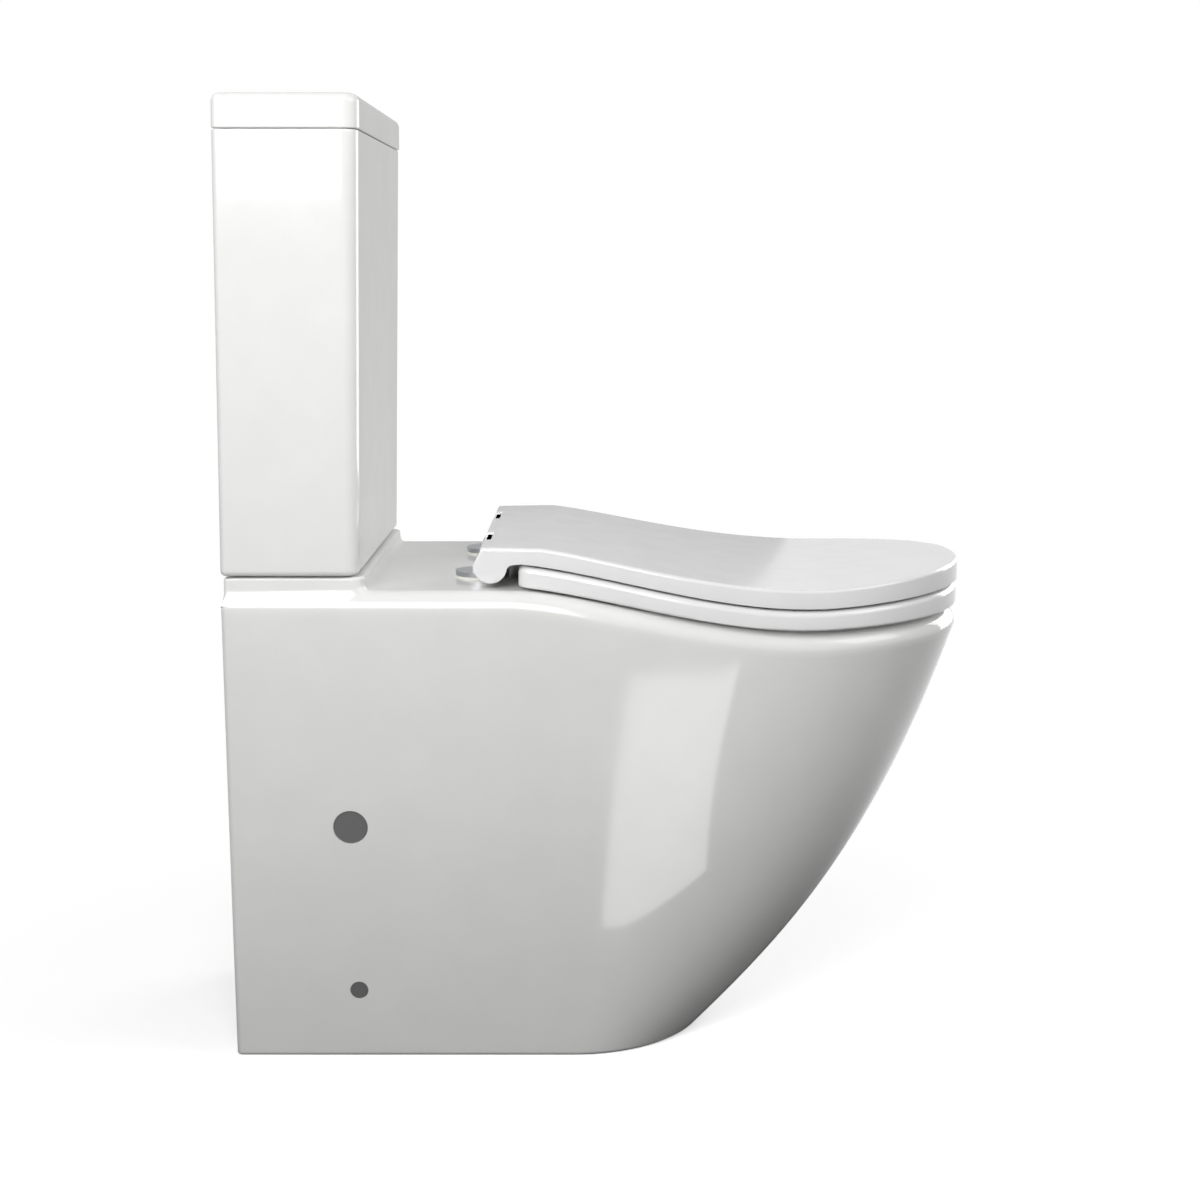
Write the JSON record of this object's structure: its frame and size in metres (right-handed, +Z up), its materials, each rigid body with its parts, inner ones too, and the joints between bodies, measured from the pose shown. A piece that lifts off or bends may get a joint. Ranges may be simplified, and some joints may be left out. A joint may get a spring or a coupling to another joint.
{
  "type": "close coupled toilet",
  "caption": "Back-to-wall close coupled toilet with a slim cistern, a wavy wrap-over seat and lid, dual flush buttons and its working valves.",
  "frame": {"origin": "centre of the bounding box's underside, on the floor", "axes": "+Z up, +Y towards the wall, -Y towards the front of the bowl, +X across"},
  "size_m": [0.367, 0.65, 0.8425],
  "materials": {
    "glazed_china": "white glazed vitreous china",
    "seat_plastic": "polished white moulded thermoset",
    "satin_metal": "satin turned metal",
    "chrome": "polished chrome plate",
    "zinc_steel": "bright zinc plated steel",
    "grey_plastic": "flat mid grey moulding",
    "white_nylon": "natural white nylon",
    "blue_grey_plastic": "blue grey moulded valve parts",
    "black_rubber": "black rubber"
  },
  "bodies": {
    "toilet_body": {"pan": "glazed_china", "cistern_tank": "glazed_china", "hinge_base_discs": "satin_metal", "hinge_gaskets": "white_nylon", "hinge_posts": "satin_metal", "hinge_pins": "chrome", "hinge_bolts": "zinc_steel", "hinge_washers": "white_nylon", "hinge_nuts": "white_nylon", "flush_valve_base": "white_nylon", "flush_valve_washer": "black_rubber", "flush_valve_cage": "white_nylon", "flush_valve_head": "blue_grey_plastic", "flush_valve_nut": "white_nylon", "doughnut_gasket": "black_rubber", "coupling_bolts": "zinc_steel", "coupling_rubber_washers": "black_rubber", "coupling_lock_nuts": "zinc_steel", "coupling_washers": "zinc_steel", "coupling_wing_nuts": "zinc_steel", "fill_valve_riser": "white_nylon", "fill_valve_washer": "black_rubber", "fill_valve_nut": "white_nylon", "fill_valve_head": "blue_grey_plastic", "side_caps_large": "grey_plastic", "side_caps_small": "grey_plastic", "side_screws": "zinc_steel", "floor_brackets": "white_nylon"},
    "ring": {"seat_ring": "seat_plastic", "seat_ring_buffers": "white_nylon"},
    "lid": {"seat_lid": "seat_plastic", "seat_lid_buffers": "white_nylon"},
    "cistern_cover": {"cistern_lid": "glazed_china", "button_bezel": "chrome", "button_bezel_nut": "white_nylon", "full_flush_spring": "zinc_steel", "half_flush_spring": "zinc_steel"},
    "full_button": {"full_flush_button": "chrome", "full_flush_rod": "white_nylon"},
    "half_button": {"half_flush_button": "chrome", "half_flush_rod": "white_nylon"},
    "flush_seal": {"overflow_tube": "blue_grey_plastic", "flush_valve_seal": "black_rubber"},
    "fill_float": {"fill_valve_float": "blue_grey_plastic", "float_adjuster_rod": "white_nylon"},
    "fill_lever": {"fill_valve_lever": "white_nylon"}
  },
  "joints": [
    {"name": "seat_ring_hinge", "type": "hinge", "parent": "toilet_body", "child": "ring", "pos_m": [0, 0.097, 0.441], "axis": [-1, 0, 0], "range_deg": [0, 98]},
    {"name": "seat_lid_hinge", "type": "hinge", "parent": "ring", "child": "lid", "pos_m": [0, 0.097, 0.441], "axis": [1, 0, 0], "range_deg": [-100, 0]},
    {"name": "cistern_lid_lift", "type": "slide", "parent": "toilet_body", "child": "cistern_cover", "axis": [0, 0, 1], "range_m": [0, 0.12]},
    {"name": "full_flush_press", "type": "slide", "parent": "cistern_cover", "child": "full_button", "axis": [0, 0, -1], "range_m": [0, 0.005], "stiffness_N_per_m": 300, "springref_m": -0.004, "deforming": ["full_flush_spring"]},
    {"name": "half_flush_press", "type": "slide", "parent": "cistern_cover", "child": "half_button", "axis": [0, 0, -1], "range_m": [0, 0.005], "stiffness_N_per_m": 300, "springref_m": -0.004, "deforming": ["half_flush_spring"]},
    {"name": "flush_valve_lift", "type": "slide", "parent": "toilet_body", "child": "flush_seal", "axis": [0, 0, 1], "range_m": [0, 0.015]},
    {"name": "fill_float_rise", "type": "slide", "parent": "toilet_body", "child": "fill_float", "axis": [0, 0, 1], "range_m": [0, 0.012]},
    {"name": "fill_lever_turn", "type": "hinge", "parent": "toilet_body", "child": "fill_lever", "pos_m": [0.122, 0.265, 0.738], "axis": [0, -1, 0], "range_deg": [0, 20]}
  ],
  "couplings": [
    {"joint": "flush_valve_lift", "follows": "full_flush_press", "ratio": 3},
    {"joint": "fill_lever_turn", "follows": "fill_float_rise", "rad_per_m": 29.088}
  ]
}
